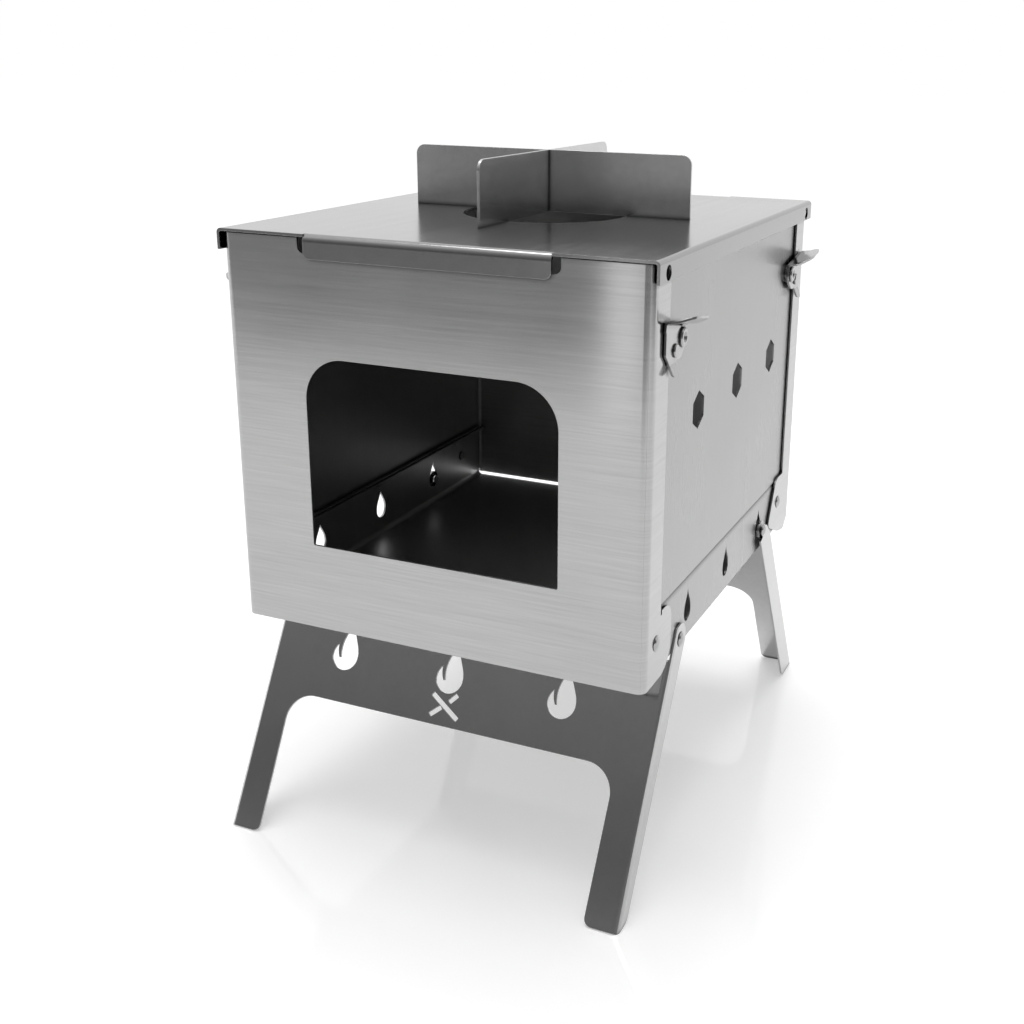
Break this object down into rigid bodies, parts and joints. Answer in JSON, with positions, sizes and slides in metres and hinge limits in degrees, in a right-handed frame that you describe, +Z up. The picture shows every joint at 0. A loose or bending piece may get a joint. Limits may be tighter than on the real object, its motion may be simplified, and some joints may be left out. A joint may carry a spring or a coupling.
{
  "type": "folding wood stove",
  "caption": "Folding sheet-metal firebox stove with an arched feed window, lid with round burner hole, crossed pot stand plates, turn latches and splayed leg frames.",
  "frame": {"origin": "on the ground under the middle of the footprint between the front and rear feet", "axes": "+X to the stove's right seen from the front, +Y to the rear, +Z up"},
  "size_m": [0.2194, 0.276, 0.3039],
  "materials": {
    "front_steel": "horizontally brushed stainless sheet",
    "body_steel": "satin stainless sheet",
    "lid_steel": "satin stainless sheet, nearly mirror-like",
    "stand_steel": "satin stainless plate",
    "leg_steel": "satin stainless sheet",
    "latch_steel": "satin spring stainless sheet",
    "rivet_steel": "plain stainless rivets and washers"
  },
  "bodies": {
    "stove_body": {"base_tray": "body_steel", "front_panel": "front_steel", "rear_panel": "front_steel", "right_side_panel": "body_steel", "left_side_panel": "body_steel", "rear_leg_right_washer": "rivet_steel", "rear_leg_left_washer": "rivet_steel", "front_panel_right_rivet": "rivet_steel", "front_panel_left_rivet": "rivet_steel", "rear_panel_right_rivet": "rivet_steel", "rear_panel_left_rivet": "rivet_steel", "front_leg_right_rivet": "rivet_steel", "front_leg_left_rivet": "rivet_steel", "rear_leg_right_rivet": "rivet_steel", "rear_leg_left_rivet": "rivet_steel", "front_right_latch_rivet": "rivet_steel", "front_right_latch_washer": "rivet_steel", "front_left_latch_rivet": "rivet_steel", "front_left_latch_washer": "rivet_steel", "rear_right_latch_rivet": "rivet_steel", "rear_right_latch_washer": "rivet_steel", "rear_left_latch_rivet": "rivet_steel", "rear_left_latch_washer": "rivet_steel"},
    "lid": {"lid": "lid_steel"},
    "stand_lower": {"pot_stand_lower_plate": "stand_steel"},
    "stand_upper": {"pot_stand_upper_plate": "stand_steel"},
    "front_legs": {"front_leg_frame": "leg_steel"},
    "rear_legs": {"rear_leg_frame": "leg_steel"},
    "front_right_latch": {"front_right_latch": "latch_steel", "front_right_latch_stud": "rivet_steel"},
    "front_left_latch": {"front_left_latch": "latch_steel", "front_left_latch_stud": "rivet_steel"},
    "rear_right_latch": {"rear_right_latch": "latch_steel", "rear_right_latch_stud": "rivet_steel"},
    "rear_left_latch": {"rear_left_latch": "latch_steel", "rear_left_latch_stud": "rivet_steel"}
  },
  "joints": [
    {"name": "lid_lift", "type": "slide", "parent": "stove_body", "child": "lid", "axis": [0, 0, 1], "range_m": [0, 0.08]},
    {"name": "stand_lift", "type": "slide", "parent": "lid", "child": "stand_lower", "axis": [0, 0, 1], "range_m": [0, 0.05]},
    {"name": "stand_upper_lift", "type": "slide", "parent": "stand_lower", "child": "stand_upper", "axis": [0, 0, 1], "range_m": [0, 0.04]},
    {"name": "front_legs_fold", "type": "hinge", "parent": "stove_body", "child": "front_legs", "pos_m": [0, -0.0702, 0.1049], "axis": [1, 0, 0], "range_deg": [0, 119.5]},
    {"name": "rear_legs_fold", "type": "hinge", "parent": "stove_body", "child": "rear_legs", "pos_m": [0, 0.0553, 0.1125], "axis": [-1, 0, 0], "range_deg": [0, 110]},
    {"name": "front_right_latch_turn", "type": "hinge", "parent": "stove_body", "child": "front_right_latch", "pos_m": [0.0984, -0.0853, 0.2415], "axis": [1, 0, 0], "range_deg": [0, 115]},
    {"name": "front_left_latch_turn", "type": "hinge", "parent": "stove_body", "child": "front_left_latch", "pos_m": [-0.0984, -0.0853, 0.2415], "axis": [1, 0, 0], "range_deg": [0, 115]},
    {"name": "rear_right_latch_turn", "type": "hinge", "parent": "stove_body", "child": "rear_right_latch", "pos_m": [0.0984, 0.0829, 0.2415], "axis": [-1, 0, 0], "range_deg": [0, 115]},
    {"name": "rear_left_latch_turn", "type": "hinge", "parent": "stove_body", "child": "rear_left_latch", "pos_m": [-0.0984, 0.0829, 0.2415], "axis": [-1, 0, 0], "range_deg": [0, 115]}
  ]
}
